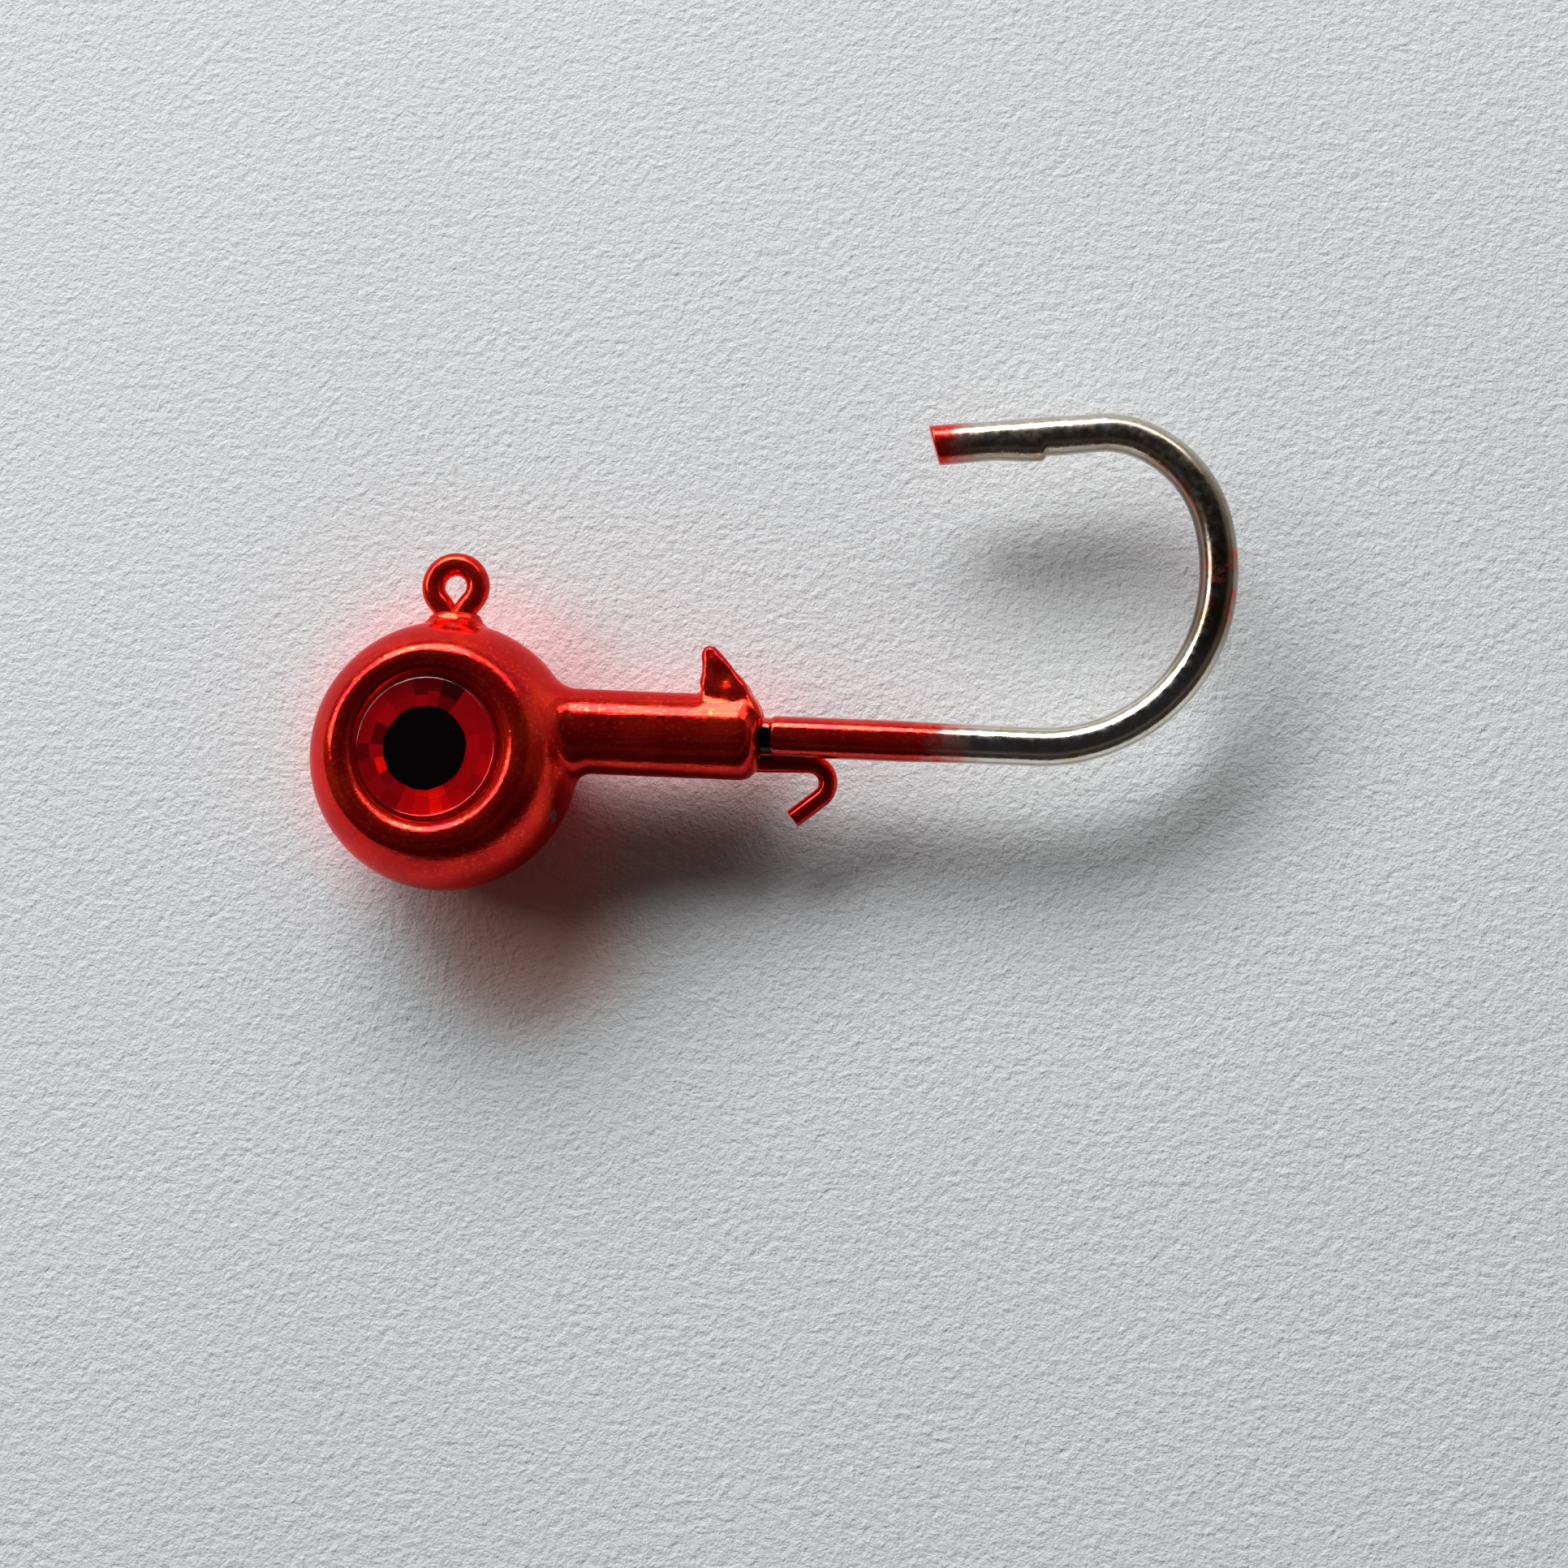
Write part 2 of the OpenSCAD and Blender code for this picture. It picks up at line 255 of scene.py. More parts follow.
def polygon_distance(corners, x, y):
    """Signed distance from points to a polygon, negative inside."""
    corners = np.array(corners, np.float32)
    nearest = np.full(x.shape, 1e9, np.float32)
    inside = np.zeros(x.shape, bool)
    for (ax, ay), (bx, by) in zip(corners, np.roll(corners, -1, axis=0)):
        ex, ey = bx - ax, by - ay
        wx, wy = x - ax, y - ay
        t = np.clip((wx * ex + wy * ey) / (ex * ex + ey * ey), 0, 1)
        nearest = np.minimum(nearest, (wx - ex * t) ** 2 + (wy - ey * t) ** 2)
        if ay != by:
            crosses = ((ay > y) != (by > y)) & (x < ex * (y - ay) / ey + ax)
            inside ^= crosses
    return np.where(inside, -1, 1) * np.sqrt(nearest)


def ripple(x, y, z, length, seed):
    """Gentle waviness between -1 and 1."""
    draw = np.random.default_rng(seed)
    total = 0
    for _ in range(5):
        way = draw.normal(size=3)
        way *= 2 * math.pi / (length * draw.uniform(0.7, 1.5) * np.linalg.norm(way))
        total = total + np.sin(x * way[0] + y * way[1] + z * way[2] + draw.uniform(0, 6.28))
    return total / 5


def ball_field(x, y, z):
    """The ball with its two crests and two eye sockets."""
    r = np.hypot(x, y)
    h = np.abs(z)
    ball = (np.sqrt((r / BALL_SIDE) ** 2 + (h / BALL_THICK) ** 2) - 1) * BALL_THICK
    out = r - CREST_R
    up = h - (CREST_Z - CREST_CURVE)
    rim = (np.hypot(np.maximum(out, 0), np.maximum(up, 0)) + np.minimum(np.maximum(out, up), 0)
           - CREST_CURVE)
    on_ball = out * math.cos(MEET_TILT) > up * math.sin(MEET_TILT)
    solid = np.where(on_ball, ball, rim)
    wall = np.hypot(x - SOCKET_AT[0], y - SOCKET_AT[1]) - SOCKET_R
    bevel = (wall - (h - (HALF - SOCKET_BEVEL))) * math.sqrt(0.5)
    socket = np.maximum(smooth_min(wall, bevel, 0.2), EYE_FLOOR - h)
    return smooth_max(solid, -socket, SOCKET_EDGE)


def collar_field(x, y, z):
    height = y - SHANK_Y + COLLAR_DROP
    along = x * math.cos(SHANK_SLOPE) + height * math.sin(SHANK_SLOPE)
    across = height * math.cos(SHANK_SLOPE) - x * math.sin(SHANK_SLOPE)
    out = np.hypot(across, z) - COLLAR_R
    past_end = np.abs(along - COLLAR_END / 2) - COLLAR_END / 2
    return rounded(out, past_end, COLLAR_ROUND)


def barb_field(x, y, z):
    outline = polygon_distance(BARB, x, y)
    height = np.clip((y - BARB_BASE_Y) / (BARB_TIP_Y - BARB_BASE_Y), 0, 1)
    half_width = BARB_BASE_W + (BARB_TIP_W - BARB_BASE_W) * height
    lumps = BARB_LUMPS * ripple(x, y, z, 0.8, 11) + 0.02
    return rounded(outline, np.abs(z) - half_width, BARB_EDGE) + lumps


def neck_field(x, y, z):
    """The neck of lead at the foot of the line tie."""
    wide = (np.hypot((x - TIE[0]) / NECK_HALF, z / NECK_DEEP) - 1) * NECK_DEEP
    lumps = NECK_LUMPS * ripple(x, y, z, 0.7, 21)
    return rounded(wide, np.maximum(y - NECK_TOP, NECK_BASE - y), NECK_EDGE) + lumps


def head_field(x, y, z):
    field = smooth_min(ball_field(x, y, z), collar_field(x, y, z), COLLAR_BLEND)
    field = smooth_min(field, barb_field(x, y, z), BARB_BLEND)
    field = smooth_min(field, neck_field(x, y, z), NECK_BLEND)
    # Faint ridge where the two halves of the mould met
    field = field - SEAM_PROUD * np.exp(-((z - SEAM_Z) / SEAM_WIDE) ** 2)
    # Clearance round the shank where it leaves the collar
    shank = np.hypot(y - SHANK_Y - x * math.tan(SHANK_SLOPE), z) - SHANK_R - MOUTH_GAP
    mouth = np.maximum(shank, COLLAR_END - MOUTH_DEEP - x)
    field = smooth_max(field, -mouth, MOUTH_EDGE)
    return field + CAST_WAVES * (1 + ripple(x, y, z, 2.6, 3))


def surface_net(field_of, low, high, step):
    """Points and quads of the surface where a field crosses zero, in a box."""
    axes = [np.arange(a, b + step, step, dtype=np.float32) for a, b in zip(low, high)]
    gx, gy, gz = np.meshgrid(*axes, indexing="ij", sparse=True)
    shape = tuple(len(a) for a in axes)
    field = np.empty(shape, np.float32)
    for i in range(shape[0]):
        x = np.broadcast_to(gx[i:i + 1], (1,) + shape[1:])
        y = np.broadcast_to(gy, (1,) + shape[1:])
        z = np.broadcast_to(gz, (1,) + shape[1:])
        field[i] = field_of(x, y, z)[0]
    inside = field < 0

    def corner(values, offset):
        return values[tuple(slice(o, n - 1 + o) for o, n in zip(offset, shape))]

    offsets = [(i, j, k) for i in (0, 1) for j in (0, 1) for k in (0, 1)]
    count = sum(corner(inside, o).astype(np.int8) for o in offsets)
    crossed = (count > 0) & (count < 8)
    cells = np.argwhere(crossed)
    number = np.full(crossed.shape, -1, np.int64)
    number[crossed] = np.arange(len(cells))

    total = np.zeros((len(cells), 3))
    hits = np.zeros(len(cells))
    for a in offsets:
        for b in offsets:
            if sum(b) - sum(a) != 1 or any(q < p for p, q in zip(a, b)):
                continue
            fa = field[tuple((cells + a).T)]
            fb = field[tuple((cells + b).T)]
            cut = (fa < 0) != (fb < 0)
            t = fa[cut] / (fa[cut] - fb[cut])
            total[cut] += np.array(a) + t[:, None] * (np.array(b) - np.array(a))
            hits[cut] += 1
    points = np.array(low) + step * (cells + total / hits[:, None])

    quads = []
    for axis in range(3):
        b, c = (axis + 1) % 3, (axis + 2) % 3
        first = [slice(1, -1)] * 3
        second = [slice(1, -1)] * 3
        first[axis] = slice(0, -1)
        second[axis] = slice(1, None)
        here = inside[tuple(first)]
        changes = np.argwhere(here != inside[tuple(second)])
        outward = here[tuple(changes.T)]
        at = changes + [0 if i == axis else 1 for i in range(3)]
        eb = np.eye(3, dtype=int)[b]
        ec = np.eye(3, dtype=int)[c]
        ring = np.stack([number[tuple(q.T)] for q in (at, at - eb, at - eb - ec, at - ec)], axis=1)
        ring[~outward] = ring[~outward][:, ::-1]
        quads.append(ring)
    return settle(field_of, points, step), np.concatenate(quads)


def settle(field_of, points, step, rounds=4):
    """Pulls points on to the surface of a field."""
    nudge = 0.15 * step
    for _ in range(rounds):
        x, y, z = points.T
        value = field_of(x, y, z)
        slope = np.stack([
            field_of(x + nudge, y, z) - field_of(x - nudge, y, z),
            field_of(x, y + nudge, z) - field_of(x, y - nudge, z),
            field_of(x, y, z + nudge) - field_of(x, y, z - nudge),
        ], axis=1) / (2 * nudge)
        length = np.maximum((slope ** 2).sum(1), 0.25)
        move = -(value / length)[:, None] * slope
        points = points + np.clip(move, -0.5 * step, 0.5 * step)
    return points


# ------------------------------------------------------------------ swept wires

def sweep(path, radii, sides, side_axis, shift=0):
    """A closed tube along a path, from a side axis. shift adds to the radius of each vertex."""
    path = np.asarray(path, float)
    count = len(path)
    tangent = np.gradient(path, axis=0)
    tangent /= np.linalg.norm(tangent, axis=1)[:, None]
    normal = np.empty_like(path)
    start = np.array(side_axis, float)
    normal[0] = start - tangent[0] * start.dot(tangent[0])
    for i in range(1, count):
        normal[i] = normal[i - 1] - tangent[i] * normal[i - 1].dot(tangent[i])
    normal /= np.linalg.norm(normal, axis=1)[:, None]
    across = np.cross(tangent, normal)
    angle = np.linspace(0, 2 * math.pi, sides, endpoint=False)
    radius = np.broadcast_to(np.asarray(radii, float)[:, None], (count, sides)) + shift
    ring = (normal[:, None] * np.cos(angle)[None, :, None]
            + across[:, None] * np.sin(angle)[None, :, None])
    points = (path[:, None] + radius[:, :, None] * ring).reshape(-1, 3)
    faces = []
    for i in range(count - 1):
        for j in range(sides):
            k = (j + 1) % sides
            faces.append((i * sides + j, i * sides + k, (i + 1) * sides + k, (i + 1) * sides + j))
    faces.append(tuple(range(sides - 1, -1, -1)))
    faces.append(tuple(range((count - 1) * sides, count * sides)))
    return points, faces


def rounded_ends(path, radii, reach, start=True):
    """Adds rings at a wire's ends, so that its cut edges are rounded over a short reach."""
    path = np.asarray(path, float)
    radii = np.asarray(radii, float)
    steps = np.sin(np.linspace(0.25, 1, 4) * math.pi / 2)

    def cap(at, way, radius):
        extra = [at + way * reach * s for s in steps]
        size = [radius - reach * (1 - math.sqrt(max(0, 1 - s * s))) for s in steps]
        return extra, size

    way = path[-1] - path[-2]
    extra, size = cap(path[-1], way / np.linalg.norm(way), radii[-1])
    path = np.concatenate([path, extra])
    radii = np.concatenate([radii, size])
    if start:
        way = path[0] - path[1]
        extra, size = cap(path[0], way / np.linalg.norm(way), radii[0])
        path = np.concatenate([extra[::-1], path])
        radii = np.concatenate([size[::-1], radii])
    return path, radii


def arc(centre, radius, first, last, count):
    """Points along an arc in the plane of the hook."""
    t = np.linspace(first, last, count)
    return np.stack([centre[0] + radius * np.cos(t), centre[1] + radius * np.sin(t), 0 * t], axis=1)


def hook_centreline(spacing):
    """Evenly spaced points along shank, bend and point, and the point's heading."""
    at = np.array([BEND_START, SHANK_Y + BEND_START * math.tan(SHANK_SLOPE)])
    heading = SHANK_SLOPE
    start_x = TIE[0] + HOOK_EYE_R
    pieces = [np.array([[start_x, SHANK_Y + start_x * math.tan(SHANK_SLOPE)]])]
    way = at - pieces[0][0]
    length = np.linalg.norm(way)
    steps = np.linspace(0, 1, int(length / spacing))[1:]
    pieces.append(pieces[0][0] + steps[:, None] * way)
    for radius, turn in zip(BEND_RADII, BEND_HEADINGS):
        turn = math.radians(turn)
        t = np.linspace(heading, turn, int(radius * (turn - heading) / spacing) + 2)[1:]
        centre = at + radius * np.array([-math.sin(heading), math.cos(heading)])
        pieces.append(centre + radius * np.stack([np.sin(t), -np.cos(t)], axis=1))
        at = pieces[-1][-1]
        heading = turn
    steps = np.arange(spacing, POINT_RUN, spacing)
    pieces.append(at + steps[:, None] * np.array([math.cos(heading), math.sin(heading)]))
    flat = np.concatenate(pieces)
    return np.column_stack([flat, np.zeros(len(flat))]), heading


# ------------------------------------------------------------------ nodes for materials

def add(tree, kind, inputs=(), **settings):
    """A node with its settings, and its inputs as values or links."""
    made = tree.nodes.new(kind)
    for name, value in settings.items():
        setattr(made, name, value)
    for key, value in dict(inputs).items():
        if isinstance(value, bpy.types.NodeSocket):
            tree.links.new(value, made.inputs[key])
        else:
            made.inputs[key].default_value = value
    return made


def new_material(name):
    """A material, its node tree, and the place on the object in millimetres."""
    material = bpy.data.materials.new(name)
    material.use_nodes = True
    tree = material.node_tree
    tree.nodes.clear()
    place = add(tree, "ShaderNodeTexCoord")
    scaled = add(tree, "ShaderNodeMapping", {"Vector": place.outputs["Object"], "Scale": (1000,) * 3})
    return material, tree, scaled.outputs[0]


def finish(material, tree, inputs):
    """Ends a material with a Principled shader that has these inputs."""
    shader = add(tree, "ShaderNodeBsdfPrincipled", inputs)
    add(tree, "ShaderNodeOutputMaterial", {"Surface": shader.outputs[0]})
    return material


def noise(tree, vector, scale, detail=3.0, roughness=0.55, stretch=None):
    if stretch is not None:
        vector = add(tree, "ShaderNodeMapping", {"Vector": vector, "Scale": stretch}).outputs[0]
    made = add(tree, "ShaderNodeTexNoise", {"Vector": vector, "Scale": scale, "Detail": detail,
                                            "Roughness": roughness})
    return made.outputs[0]


def ramp(tree, factor, *stops):
    """A colour ramp through stops of position and colour."""
    made = add(tree, "ShaderNodeValToRGB", {"Fac": factor})
    points = made.color_ramp.elements
    while len(points) < len(stops):
        points.new(0.5)
    for point, (position, colour) in zip(points, stops):
        point.position = position
        point.color = (*colour, 1)
    return made.outputs[0]


def blend(tree, factor, a, b):
    made = add(tree, "ShaderNodeMix", {0: factor, 6: a, 7: b}, data_type="RGBA")
    return made.outputs[2]


def maths(tree, operation, a, b=0.0):
    return add(tree, "ShaderNodeMath", {0: a, 1: b}, operation=operation).outputs[0]


def span(tree, value, low, high, to_low=0.0, to_high=1.0):
    """Maps a span of a value on to another, held at its ends."""
    made = add(tree, "ShaderNodeMapRange", {"Value": value, "From Min": low, "From Max": high,
                                            "To Min": to_low, "To Max": to_high},
               interpolation_type="SMOOTHSTEP")
    return made.outputs[0]


def near(tree, vector, point, inner, outer):
    """1 close to a point and 0 beyond the outer distance, in millimetres."""
    away = add(tree, "ShaderNodeVectorMath", {0: vector, 1: point}, operation="DISTANCE")
    return span(tree, away.outputs["Value"], inner, outer, 1.0, 0.0)


def bump(tree, height, strength, distance, under=None):
    inputs = {"Height": height, "Strength": strength, "Distance": distance * MM}
    if under is not None:
        inputs["Normal"] = under
    return add(tree, "ShaderNodeBump", inputs).outputs[0]


def split(tree, vector):
    return add(tree, "ShaderNodeSeparateXYZ", {0: vector}).outputs


RED_DEEP = (0.62, 0.003, 0.007, 1)
RED_BRIGHT = (0.92, 0.026, 0.008, 1)
RED_GOLD = (0.85, 0.16, 0.02, 1)
RED_LINE = (0.42, 0.006, 0.006, 1)
METAL = 0.85                     # the rest of the lacquer scatters light
EDGE_TINT = (1.0, 0.10, 0.10, 1)
COAT = {"Coat Weight": 0.17, "Coat Roughness": 0.03, "Coat IOR": 1.5}
BARE_LEAD = (0.42, 0.41, 0.42, 1)
CHIP_AT = (4.24, -2.34, HALF + 0.8)
SPRAY_AT = (28.75, 6.4, HALF - 0.1)


def lacquer_colour(tree, at):
    """Candy red: deeper and brighter drifts, with a fine golden sparkle of metal under it."""
    drift = noise(tree, at, 0.45, 4)
    colour = blend(tree, span(tree, drift, 0.35, 0.7), RED_DEEP, RED_BRIGHT)
    grain = noise(tree, at, 7.0, 5, 0.7)
    speckle = span(tree, grain, 0.54, 0.68, 0.0, 0.75)
    return blend(tree, speckle, colour, RED_GOLD)


def lacquer_bump(tree, at, amount=1.0):
    """Orange peel, and fine grain of the metal below it."""
    peel = noise(tree, at, 2.2, 3, 0.5)
    grain = noise(tree, at, 9.0, 4, 0.65)
    soft = bump(tree, peel, 0.35 * amount, 0.03)
    return bump(tree, grain, 0.30 * amount, 0.012, soft)


def lacquered_lead():
    material, tree, at = new_material("candy_lacquer")
    x = split(tree, at)[0]
    colour = lacquer_colour(tree, at)
    # Fine lines along the collar, left by the mould
    lines = noise(tree, at, 1.0, 3, 0.6, stretch=(0.25, 9.0, 9.0))
    on_collar = maths(tree, "MULTIPLY", span(tree, x, 5.2, 6.2), 0.5)
    lined = maths(tree, "MULTIPLY", span(tree, lines, 0.5, 0.62), on_collar)
    colour = blend(tree, lined, colour, RED_LINE)
    # A chip down to bare lead
    chip = near(tree, at, CHIP_AT, 0.24, 0.36)
    ragged = maths(tree, "MULTIPLY", chip, span(tree, noise(tree, at, 4.0, 4), 0.46, 0.54))
    colour = blend(tree, ragged, colour, BARE_LEAD)
    return finish(material, tree, {
        "Base Color": colour,
        "Metallic": METAL,
        "Roughness": span(tree, noise(tree, at, 3.0, 4), 0.3, 0.7, 0.07, 0.19),
        "Normal": bump(tree, lines, 0.25, 0.02, lacquer_bump(tree, at)),
        "Specular Tint": EDGE_TINT,
        **COAT,
    })


def plating_colour(tree, at, y, specks):
    """Clean on the shank and darker round the bend, where painted shade dims its reflections, with dark
    specks.
    """
    tarnish = noise(tree, at, 0.9, 4, 0.6)
    clean = blend(tree, span(tree, tarnish, 0.4, 0.7), (0.90, 0.87, 0.80, 1), (0.86, 0.76, 0.58, 1))
    # Painted shade: round the bend the plating is made darker, so that its rims reflect less light
    shaded_plating = blend(tree, span(tree, tarnish, 0.4, 0.65), (0.30, 0.26, 0.21, 1), (0.28, 0.19, 0.11, 1))
    towards_point = span(tree, y, 9.0, 12.5, 1.0, 0.45)
    painted_bend_shade = maths(tree, "MULTIPLY", span(tree, y, 2.0, 5.0), towards_point)
    metal = blend(tree, painted_bend_shade, clean, shaded_plating)
    return blend(tree, span(tree, specks, 0.58, 0.7, 0, 0.6), metal, (0.22, 0.18, 0.15, 1))


def lacquer_on_hook(tree, at, cloud):
    """How much lacquer lies on the hook: shank, dipped tip, spray on the bend, runs below."""
    x, y, z = split(tree, at)
    reach = maths(tree, "ADD", x, maths(tree, "MULTIPLY", cloud, 3.2))
    below_bend = span(tree, y, 5.0, 5.5, 1.0, 0.0)
    fade = maths(tree, "MULTIPLY", span(tree, reach, 18.9, 21.6, 1.0, 0.0), below_bend)
    tip_reach = maths(tree, "SUBTRACT", x, maths(tree, "MULTIPLY", cloud, 1.8))
    above_bend = span(tree, y, 8.0, 9.0)
    dip = maths(tree, "MULTIPLY", span(tree, tip_reach, 17.1, 18.7, 1.0, 0.0), above_bend)
    on_bend = near(tree, at, SPRAY_AT, 0.8, 2.2)
    spray = maths(tree, "MULTIPLY", on_bend, span(tree, cloud, 0.5, 0.62, 0, 0.8))
    under = span(tree, z, HALF - 0.2, HALF - 0.5)
    low = maths(tree, "MULTIPLY", under, span(tree, cloud, 0.42, 0.6, 0, 0.5))
    return maths(tree, "MAXIMUM", maths(tree, "MAXIMUM", fade, dip), maths(tree, "MAXIMUM", spray, low))


def plated_hook():
    """Bright plating, with the head's lacquer running out along the shank."""
    material, tree, at = new_material("plated_hook")
    x, y = split(tree, at)[:2]
    specks = noise(tree, at, 6.0, 4, 0.7)
    cloud = noise(tree, at, 1.7, 5, 0.65)
    red = lacquer_on_hook(tree, at, cloud)
    colour = blend(tree, red, plating_colour(tree, at, y, specks), lacquer_colour(tree, at))
    # Painted shade: black in the crevice where the shank leaves the collar, but not on the top of the
    # shank
    ragged = maths(tree, "MULTIPLY", cloud, 0.3)
    crevice_shade = span(tree, maths(tree, "SUBTRACT", x, ragged), 11.86, 11.91, 1.0, 0.0)
    below_top = span(tree, maths(tree, "ADD", y, ragged), 1.32, 1.16)
    crevice_shade = maths(tree, "MULTIPLY", crevice_shade, below_top)
    colour = blend(tree, crevice_shade, colour, (0.012, 0.008, 0.008, 1))
    pits = bump(tree, specks, 0.35, 0.012)
    rough = span(tree, noise(tree, at, 3.5, 4), 0.3, 0.7, 0.08, 0.20)
    rough = maths(tree, "ADD", rough, span(tree, y, 6.0, 11.0, 0.0, 0.10))
    return finish(material, tree, {
        "Base Color": colour,
        "Metallic": span(tree, red, 0.0, 1.0, 1.0, METAL),
        "Roughness": rough,
        "Normal": bump(tree, noise(tree, at, 1.8, 3, 0.5), 0.3, 0.03, pits),
        "Coat Weight": 0.2,
        "Coat Roughness": 0.05,
        "Coat IOR": 1.5,
    })


def lacquered_wire():
    material, tree, at = new_material("lacquered_wire")
    return finish(material, tree, {
        "Base Color": lacquer_colour(tree, at),
        "Metallic": METAL,
        "Roughness": span(tree, noise(tree, at, 4.0, 4), 0.3, 0.7, 0.10, 0.22),
        "Normal": lacquer_bump(tree, at, 0.8),
        "Specular Tint": EDGE_TINT,
        **COAT,
    })


def eye_adhesive():
    material, tree, at = new_material("eye_adhesive")
    cloud = noise(tree, at, 1.2, 4)
    return finish(material, tree, {
        "Base Color": blend(tree, cloud, (0.80, 0.78, 0.70, 1), (0.62, 0.58, 0.48, 1)),
        "Roughness": span(tree, cloud, 0.3, 0.7, 0.3, 0.5),
        "Normal": bump(tree, noise(tree, at, 4.0), 0.3, 0.03),
    })


def eye_foil():
    """Prismatic foil. Each facet has its own painted reflection brightness, held in the mesh.

    It glows a little in its own colour, to make up for the light that the cover keeps out.
    """
    material, tree, at = new_material("eye_foil")
    shade = add(tree, "ShaderNodeAttribute", attribute_name="shade").outputs["Fac"]
    # Painted reflections: each facet's brightness, from near black to bright red, goes into its colour
    # and its glow
    colour = ramp(tree, shade, (0.0, (0.020, 0.001, 0.002)), (0.35, (0.38, 0.002, 0.010)),
                  (0.7, (0.75, 0.004, 0.006)), (1.0, (1.00, 0.010, 0.004)))
    flecks = noise(tree, at, 8.0, 4, 0.7)
    colour = blend(tree, span(tree, flecks, 0.64, 0.75, 0, 0.3), colour, (0.6, 0.01, 0.03, 1))
    return finish(material, tree, {
        "Base Color": colour,
        "Metallic": 0.30,
        "Roughness": span(tree, flecks, 0.3, 0.7, 0.16, 0.26),
        "Normal": bump(tree, flecks, 0.12, 0.006),
        "Specular Tint": EDGE_TINT,
        "Emission Color": colour,
        "Emission Strength": 0.35,
    })


def eye_ink():
    material, tree, at = new_material("eye_ink")
    specks = noise(tree, at, 7.0, 5, 0.75)
    worn = span(tree, specks, 0.66, 0.76, 0, 0.2)
    return finish(material, tree, {
        "Base Color": blend(tree, worn, (0.0012, 0.0012, 0.002, 1), (0.04, 0.04, 0.04, 1)),
        "Roughness": span(tree, specks, 0.4, 0.7, 0.5, 0.8),
        "Normal": bump(tree, specks, 0.3, 0.01),
        "Specular IOR Level": 0.05,
    })


def eye_cover():
    """Clear dome with a red tint."""
    material, tree, at = new_material("eye_cover")
    haze = noise(tree, at, 2.0, 4)
    return finish(material, tree, {
        "Base Color": blend(tree, haze, (1.0, 0.42, 0.44, 1), (1.0, 0.60, 0.62, 1)),
        "Roughness": span(tree, haze, 0.3, 0.7, 0.01, 0.03),
        "Transmission Weight": 1.0,
        "IOR": 1.46,
        "Normal": bump(tree, noise(tree, at, 1.4, 2), 0.08, 0.02),
    })


def paper_colour(tree, at):
    """White paper. The red light that the lacquer throws on to it is partly painted in."""
    drift = noise(tree, at, 0.05, 2, 0.5)
    colour = blend(tree, drift, (0.77, 0.80, 0.80, 1), (0.84, 0.86, 0.875, 1))
    x, y = split(tree, at)[:2]
    round_ball = near(tree, at, (0, 0.6, 0), 5.2, 8.0)
    from_collar = maths(tree, "ABSOLUTE", maths(tree, "SUBTRACT", y, 0.8))
    along = maths(tree, "MULTIPLY", span(tree, x, 0.0, 3.0), span(tree, x, 10.5, 15.0, 1.0, 0.0))
    by_collar = maths(tree, "MULTIPLY", span(tree, from_collar, 1.3, 4.2, 1.0, 0.0), along)
    glow = maths(tree, "MULTIPLY", maths(tree, "MAXIMUM", round_ball, by_collar), 0.68)
    colour = blend(tree, glow, colour, (1.0, 0.70, 0.71, 1))
    in_shadow = maths(tree, "MULTIPLY", near(tree, at, (2.6, -5.6, 0), 1.2, 5.6), 0.95)
    return blend(tree, in_shadow, colour, (0.98, 0.56, 0.46, 1))


def paper():
    material, tree, at = new_material("paper")
    tooth = noise(tree, at, 2.6, 5, 0.66)
    fine = noise(tree, at, 5.0, 3, 0.6)
    return finish(material, tree, {
        "Base Color": paper_colour(tree, at),
        "Roughness": span(tree, tooth, 0.3, 0.7, 0.75, 0.95),
        "Normal": bump(tree, fine, 0.6, 0.06, bump(tree, tooth, 0.7, 0.17)),
        "Specular IOR Level": 0.15,
    })


# The materials of the pieces
HEAD_LACQUER = lacquered_lead()
PLATING = plated_hook()
WIRE_LACQUER = lacquered_wire()
ADHESIVE = eye_adhesive()
FOIL = eye_foil()
INK = eye_ink()
CLEAR = eye_cover()


# ------------------------------------------------------------------ the head

def build_head():
    low = (-BALL_R - 0.3, -BALL_R - 0.3, -HALF - 0.3)
    high = (COLLAR_END + 0.5, TIE[1] - 0.3, HALF + 0.3)
    step = HEAD_STEP
    points, quads = surface_net(head_field, low, high, step)
    make_mesh("head_casting_lacquered", points, quads, HEAD_LACQUER,
              ["head_casting"])


# ------------------------------------------------------------------ the hook

def hook_radii(path, along, from_tip):
    """The wire, and the lacquer's own thickness on the shank and on the dipped tip."""
    on_shank = path[:, 1] < 5
    radii = np.full(len(path), SHANK_R)
    radii = radii + SHANK_LACQUER * smooth(18.6, 16.4, path[:, 0]) * on_shank
    radii = radii - CREVICE_DEEP * smooth(12.08, 11.98, path[:, 0]) * on_shank
    radii = radii + TIP_LACQUER * smooth(1.6, 1.2, from_tip)
    return radii - BEND_THINNER * smooth(20.0, 23.0, along) * smooth(4.0, 6.0, from_tip)


def pressed_barb(from_tip, angle):
    """The nub of the hook's own barb, with a notch behind it, as a shift of each vertex."""
    # The side that faces into the bend is at a quarter turn from the normal
    inner_side = np.maximum(np.cos(angle + math.pi / 2), 0) ** 1.5
    nub = NUB_PROUD * smooth(1.9, 3.8, from_tip) * smooth(NUB_END + 0.05, NUB_END - 0.05, from_tip)
    notch = NOTCH_DEEP * smooth(3.94, 4.02, from_tip) * smooth(4.4, 4.05, from_tip)
    return (nub - notch)[:, None] * inner_side[None, :]


